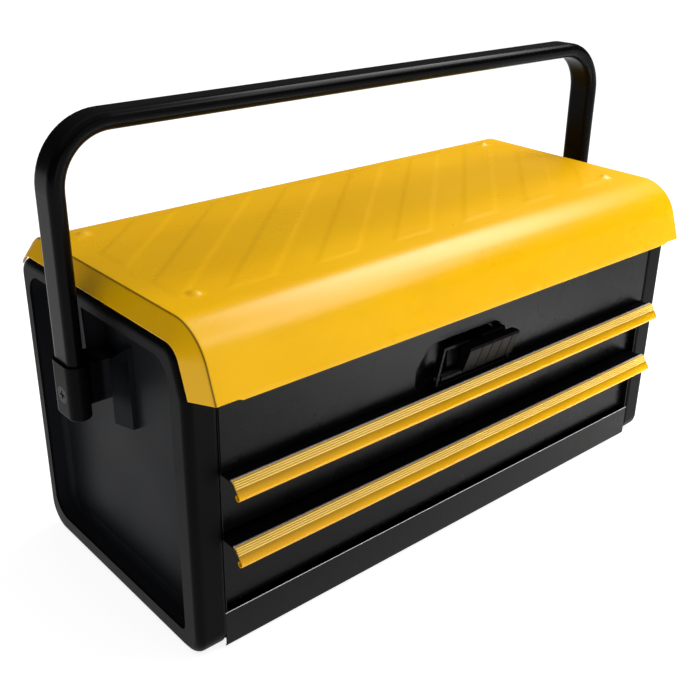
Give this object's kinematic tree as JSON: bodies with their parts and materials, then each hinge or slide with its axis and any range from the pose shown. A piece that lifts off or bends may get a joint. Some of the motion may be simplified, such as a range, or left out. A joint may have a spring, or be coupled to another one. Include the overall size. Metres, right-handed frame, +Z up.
{
  "type": "tool case",
  "caption": "Steel tool case with a hinged flared lid, a sprung latch, sliding drawers with pull rails, moulded end caps and a folding bail handle.",
  "frame": {"origin": "middle of the overall box on the floor plane", "axes": "+X along the case to the right end, -Y out of the front, +Z up"},
  "size_m": [0.5468, 0.2384, 0.3485],
  "materials": {
    "yellow_paint": "glossy yellow paint",
    "yellow_pull": "glossy yellow rail",
    "black_paint": "satin black paint",
    "tube_paint": "glossy black paint",
    "black_moulding": "fine grained black moulding",
    "latch_moulding": "satin black moulding",
    "black_screw": "black plated screw",
    "zinc_steel": "bright zinc"
  },
  "bodies": {
    "case": {"end_cap_left": "black_moulding", "end_cap_right": "black_moulding", "side_wall_left": "black_paint", "side_wall_right": "black_paint", "base_pan": "black_paint", "back_panel": "black_paint", "front_panel": "black_paint", "tray_floor": "black_paint", "runner_upper_left": "zinc_steel", "runner_upper_right": "zinc_steel", "runner_lower_left": "zinc_steel", "runner_lower_right": "zinc_steel", "hinge_leaf_body": "zinc_steel", "hinge_pin": "zinc_steel", "hinge_rivets_body": "zinc_steel", "latch_base": "latch_moulding", "latch_pin": "zinc_steel", "latch_spring": "zinc_steel", "cap_screws_left": "zinc_steel", "cap_screws_right": "zinc_steel", "pivot_screw_left": "black_screw", "pivot_screw_right": "black_screw"},
    "lid": {"lid_shell": "yellow_paint", "hinge_leaf_lid": "zinc_steel", "hinge_rivets_lid": "zinc_steel", "latch_strike": "zinc_steel", "strike_rivets": "zinc_steel"},
    "drawer_upper": {"drawer_upper_tray": "black_paint", "drawer_upper_face": "black_paint", "drawer_upper_pull": "yellow_pull"},
    "drawer_lower": {"drawer_lower_tray": "black_paint", "drawer_lower_face": "black_paint", "drawer_lower_pull": "yellow_pull"},
    "handle": {"handle_tube": "tube_paint", "handle_socket_left": "black_moulding", "handle_socket_right": "black_moulding"},
    "latch": {"latch_lever": "latch_moulding"}
  },
  "joints": [
    {"name": "lid_hinge", "type": "hinge", "parent": "case", "child": "lid", "pos_m": [0, 0.11623, 0.2051], "axis": [-1, 0, 0], "range_deg": [0, 100]},
    {"name": "handle_fold", "type": "hinge", "parent": "case", "child": "handle", "pos_m": [0, 0.01603, 0.164], "axis": [-1, 0, 0], "range_deg": [0, 90]},
    {"name": "upper_drawer_slide", "type": "slide", "parent": "case", "child": "drawer_upper", "axis": [0, -1, 0], "range_m": [0, 0.165]},
    {"name": "lower_drawer_slide", "type": "slide", "parent": "case", "child": "drawer_lower", "axis": [0, -1, 0], "range_m": [0, 0.165]},
    {"name": "latch_turn", "type": "hinge", "parent": "case", "child": "latch", "pos_m": [0, -0.10307, 0.1466], "axis": [1, 0, 0], "range_deg": [0, 30], "stiffness_Nm_per_rad": 0.25}
  ],
  "couplings": [
    {"joint": "handle_fold", "follows": "lid_hinge", "ratio": 0.9}
  ]
}
